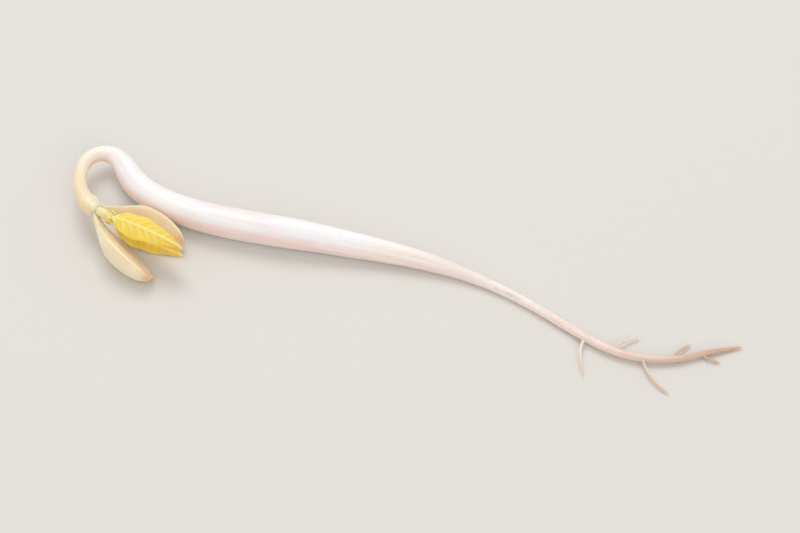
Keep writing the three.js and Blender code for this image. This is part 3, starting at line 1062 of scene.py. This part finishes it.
class SPROUT_OT_stem(bpy.types.Operator):
    """Grow the plump white stem with its hooked neck"""

    bl_idname = "sprout.stem"
    bl_label = "Grow Stem"

    def execute(self, context):
        settings = context.scene.sprout.stem
        inputs = {
            "Sides": settings.sides,
            "Rib Width": settings.rib_width,
            "Rib Depth": settings.rib_depth,
            "Swelling Length": settings.swelling_length,
            "Swelling Depth": settings.swelling_depth,
            "Seed": 3.0,
            "Material": moist_stem_skin(),
        }
        mesh = grown_mesh("stem_growth", path_mesh("stem_path", [stem_path()]), ribbed_skin_tree(), inputs)
        add_piece("white_stem", mesh, moist_stem_skin(), "stem_skin", "hypocotyl")
        return {"FINISHED"}


class SPROUT_OT_root(bpy.types.Operator):
    """Grow the thin tapering root with its side rootlets and fine hairs"""

    bl_idname = "sprout.root"
    bl_label = "Grow Root"

    def execute(self, context):
        settings = context.scene.sprout.root
        paths = [tap_root_path()] + [rootlet_path(*rootlet) for rootlet in ROOTLETS]
        inputs = {
            "Sides": settings.sides,
            "Rib Width": settings.rib_width,
            "Rib Depth": settings.rib_depth * WIDEST / MEETING_RADIUS,
            "Swelling Length": settings.swelling_length,
            "Swelling Depth": settings.swelling_depth,
            "Seed": 8.0,
            "Material": thin_root_skin(),
        }
        mesh = grown_mesh("root_growth", path_mesh("root_path", paths), ribbed_skin_tree(), inputs)
        add_piece("tap_root", mesh, thin_root_skin(), "root_skin", "root")
        inputs = {
            "Density": settings.hair_density,
            "Length": settings.hair_length,
            "Seed": 5,
            "Material": thin_root_skin(),
        }
        hairs = grown_mesh("hair_growth", mesh.copy(), root_hair_tree(), inputs)
        add_piece("root_hairs", hairs, thin_root_skin(), "root_skin")
        return {"FINISHED"}


class SPROUT_OT_bean_halves(bpy.types.Operator):
    """Grow the two halves of the bean on the node"""

    bl_idname = "sprout.bean_halves"
    bl_label = "Grow Bean Halves"

    def execute(self, context):
        for name, node, side, lean, opening in BEAN_HALVES:
            mesh = bean_half(name, side, lean, opening, context.scene.sprout.bean)
            add_piece(name, mesh, waxy_bean_flesh(), "seed_leaf_flesh", node)
        return {"FINISHED"}


class SPROUT_OT_shoot(bpy.types.Operator):
    """Grow the short shoot between the bean halves, with its bud and the scales round it"""

    bl_idname = "sprout.shoot"
    bl_label = "Grow Shoot"

    def execute(self, context):
        add_piece("bud_stalk", bud_stalk("bud_stalk"), tender_shoot_skin(), "shoot_skin", "shoot")
        for k, turn in enumerate(SCALE_TURNS, 1):
            name = f"bud_scale_{k}"
            add_piece(name, bud_scale(name, turn), tender_shoot_skin(), "shoot_skin")
        return {"FINISHED"}


class SPROUT_OT_first_leaves(bpy.types.Operator):
    """Grow the pair of yellow first leaves out of the bud"""

    bl_idname = "sprout.first_leaves"
    bl_label = "Grow First Leaves"

    def execute(self, context):
        for name, node, side, swing in LEAVES:
            mesh = first_leaf(name, side, swing, context.scene.sprout.leaf)
            add_piece(name, mesh, young_leaf_blade(), "leaf_blade", node)
        return {"FINISHED"}


def add_floor():
    radius = 1.5
    height = -0.01 * MM  # just under the sprout, so that no two faces share a plane
    disc = bmesh.new()
    bmesh.ops.create_circle(disc, cap_ends=True, radius=radius, segments=128)
    bmesh.ops.translate(disc, verts=disc.verts, vec=(0, 0, height))
    mesh = bpy.data.meshes.new("floor")
    disc.to_mesh(mesh)
    disc.free()
    mesh.materials.append(matte_floor_paper())
    floor = bpy.data.objects.new("floor", mesh)
    bpy.context.scene.collection.objects.link(floor)


def add_soft_light(name, power, size, place):
    """A large square light that looks at the sprout."""
    light = bpy.data.lights.new(name, "AREA")
    light.energy = power
    light.size = size
    lamp = bpy.data.objects.new(name, light)
    lamp.location = place
    lamp.rotation_euler = (-Vector(place)).to_track_quat("-Z", "Y").to_euler()
    bpy.context.scene.collection.objects.link(lamp)


def add_sky(strength):
    world = bpy.data.worlds.new("even_white_sky")
    world.use_nodes = True
    background = world.node_tree.nodes["Background"]
    background.inputs["Color"].default_value = (1, 1, 1, 1)
    background.inputs["Strength"].default_value = strength
    bpy.context.scene.world = world


def add_camera(settings):
    """Looks down on the sprout from the photograph's angle, with the sprout in the middle of its frame."""
    share_of_width = 0.84  # of the picture, that the sprout fills
    azimuth, level = settings.azimuth, math.cos(settings.elevation)
    back = Vector((math.sin(azimuth) * level, -math.cos(azimuth) * level, math.sin(settings.elevation)))
    turn = (-back).to_track_quat("-Z", "Y")
    right, up = turn @ Vector((1, 0, 0)), turn @ Vector((0, 1, 0))
    points = [vertex.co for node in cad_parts.values() for vertex in node.data.vertices]
    across = [point.dot(right) for point in points]
    upward = [point.dot(up) for point in points]
    middle = right * (min(across) + max(across)) / 2 + up * (min(upward) + max(upward)) / 2
    camera = bpy.data.cameras.new("camera")
    camera.lens = settings.lens
    camera.clip_start, camera.clip_end = 0.01, 10
    distance = (max(across) - min(across)) / share_of_width * camera.lens / camera.sensor_width
    viewer = bpy.data.objects.new("camera", camera)
    viewer.location = middle + back * distance
    viewer.rotation_euler = turn.to_euler()
    bpy.context.scene.collection.objects.link(viewer)
    bpy.context.scene.camera = viewer


class SPROUT_OT_stage(bpy.types.Operator):
    """Set the pale floor, the soft light and the camera"""

    bl_idname = "sprout.stage"
    bl_label = "Set Stage"

    def execute(self, context):
        settings = context.scene.sprout.stage
        key_size, key_place = 0.45, (-0.3, 0.34, 0.66)
        fill_size, fill_place = 0.6, (0.6, -0.45, 0.5)
        add_floor()
        add_soft_light("key_light", settings.key_power, key_size, key_place)
        add_soft_light("fill_light", settings.fill_power, fill_size, fill_place)
        add_sky(settings.sky_strength)
        add_camera(settings)
        context.scene.view_settings.view_transform = "Standard"
        return {"FINISHED"}


OPERATORS = (
    SPROUT_OT_stem,
    SPROUT_OT_root,
    SPROUT_OT_bean_halves,
    SPROUT_OT_shoot,
    SPROUT_OT_first_leaves,
    SPROUT_OT_stage,
)


class SPROUT_PT_pieces(bpy.types.Panel):
    """Lists the sprout's pieces, with their sizes and colours"""

    bl_idname = "SPROUT_PT_pieces"
    bl_label = "Mung Bean Sprout"
    bl_space_type = "VIEW_3D"
    bl_region_type = "UI"
    bl_category = "Sprout"

    def draw(self, context):
        for operator in OPERATORS:
            self.layout.operator(operator.bl_idname)
        for part in ("stem", "root", "bean", "leaf", "stage"):
            settings = getattr(context.scene.sprout, part)
            box = self.layout.box()
            box.label(text=part.capitalize())
            for name in settings.__annotations__:
                box.prop(settings, name)


CLASSES = (
    StemSettings,
    RootSettings,
    BeanSettings,
    LeafSettings,
    StageSettings,
    SproutSettings,
    *OPERATORS,
    SPROUT_PT_pieces,
)


def register():
    for each in CLASSES:
        bpy.utils.register_class(each)
    bpy.types.Scene.sprout = PointerProperty(type=SproutSettings)


def unregister():
    del bpy.types.Scene.sprout
    for each in reversed(CLASSES):
        bpy.utils.unregister_class(each)


def main():
    register()
    bpy.ops.sprout.stem()
    bpy.ops.sprout.root()
    bpy.ops.sprout.bean_halves()
    bpy.ops.sprout.shoot()
    bpy.ops.sprout.first_leaves()
    bpy.ops.sprout.stage()


if __name__ == "__main__":
    main()
